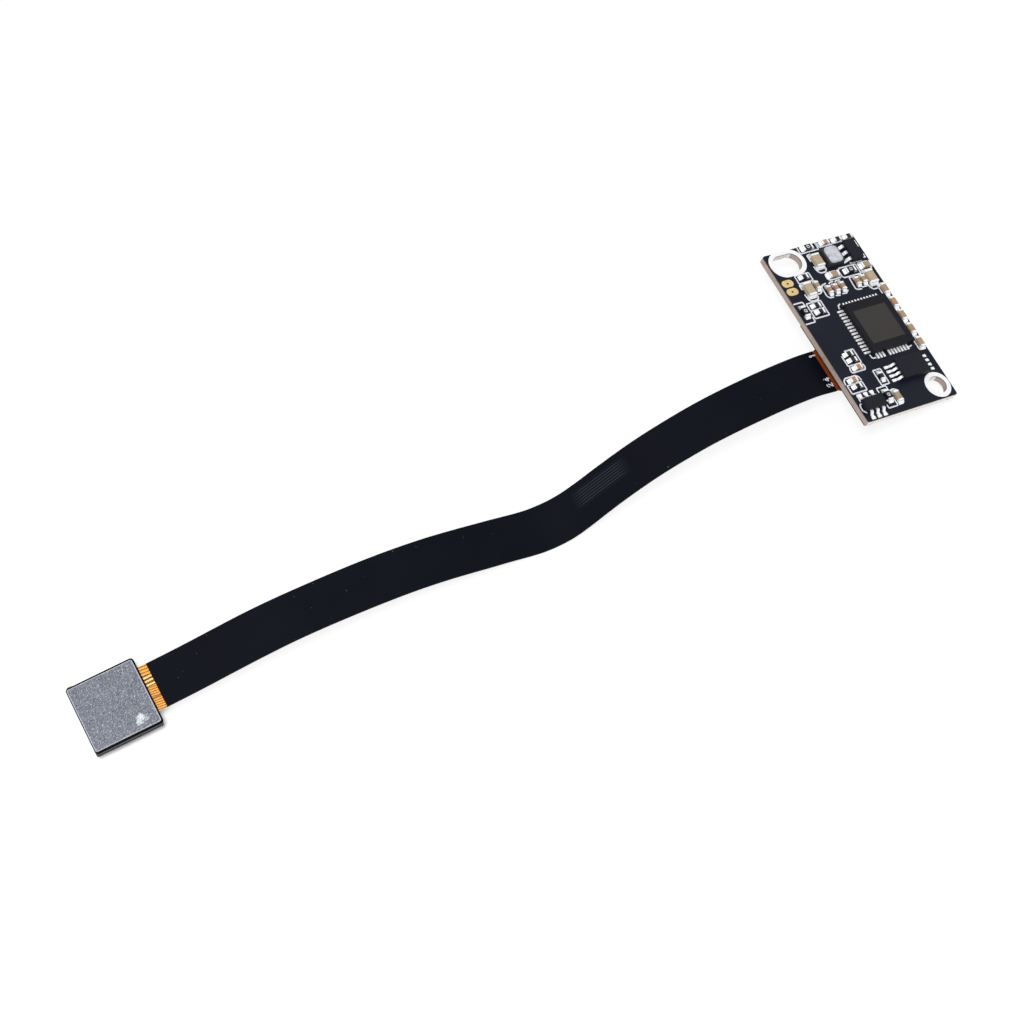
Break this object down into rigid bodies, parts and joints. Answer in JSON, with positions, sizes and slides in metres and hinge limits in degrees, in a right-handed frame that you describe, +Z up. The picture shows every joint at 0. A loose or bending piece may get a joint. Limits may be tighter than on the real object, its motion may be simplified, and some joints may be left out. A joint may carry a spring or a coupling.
{
  "type": "camera module",
  "caption": "Small square camera head joined by a flat black ribbon to a narrow USB camera board with a main chip, a flash chip and mounting holes.",
  "frame": {"origin": "middle of the base: half way along, half way across, at the surface the module lies on", "axes": "+X runs along the ribbon from the camera head to the board, +Z points up from the surface, and the lens faces down"},
  "size_m": [0.1142, 0.0258, 0.0106],
  "materials": {
    "plate_steel": "fine matt rolled finish",
    "polyimide": "glossy amber film over copper",
    "cover_film": "satin black film",
    "sensor_silicon": "polished",
    "filter_glass": "polished",
    "holder_plastic": "fine matt",
    "lens_glass": "coated and polished",
    "connector_plastic": "matt",
    "gold_contact": "gold plated",
    "board_mask": "glossy black solder mask on glass laminate",
    "tinned_metal": "bright tin",
    "solder": "bright, flowed",
    "chip_epoxy": "matt moulded epoxy",
    "ferrite": "matt",
    "magnetic_coating": "lumpy matt resin",
    "capacitor_ceramic": "fired ceramic",
    "resistor_black": "glazed",
    "black_tape": "matt",
    "white_ink": "screen printed ink",
    "header_plastic": "matt moulded"
  },
  "bodies": {
    "root": {"stiffener_plate": "plate_steel", "flex_circuit": "polyimide", "cover_film_top": "cover_film", "cover_film_bottom": "cover_film", "image_sensor": "sensor_silicon", "infrared_filter": "filter_glass", "lens_holder": "holder_plastic", "lens_barrel": "holder_plastic", "front_lens": "lens_glass", "ribbon_plug": "connector_plastic", "plug_contacts": "gold_contact", "board_socket": "connector_plastic", "socket_contacts": "gold_contact", "circuit_board": "board_mask", "hole_rings": "tinned_metal", "test_pads": "gold_contact", "main_chip": "chip_epoxy", "main_chip_pads": "solder", "flash_chip": "chip_epoxy", "flash_chip_leads": "tinned_metal", "five_pin_regulator": "chip_epoxy", "five_pin_leads": "tinned_metal", "six_pin_chip": "chip_epoxy", "six_pin_leads": "tinned_metal", "inductor_core": "ferrite", "inductor_coating": "magnetic_coating", "small_capacitors": "capacitor_ceramic", "middle_capacitors": "capacitor_ceramic", "large_capacitors": "capacitor_ceramic", "capacitor_ends": "tinned_metal", "small_resistors": "resistor_black", "middle_resistors": "resistor_black", "resistor_ends": "tinned_metal", "solder_joints": "solder", "underside_tape": "black_tape", "usb_header": "header_plastic", "usb_header_pins": "gold_contact", "usb_header_anchors": "tinned_metal"}
  },
  "joints": []
}
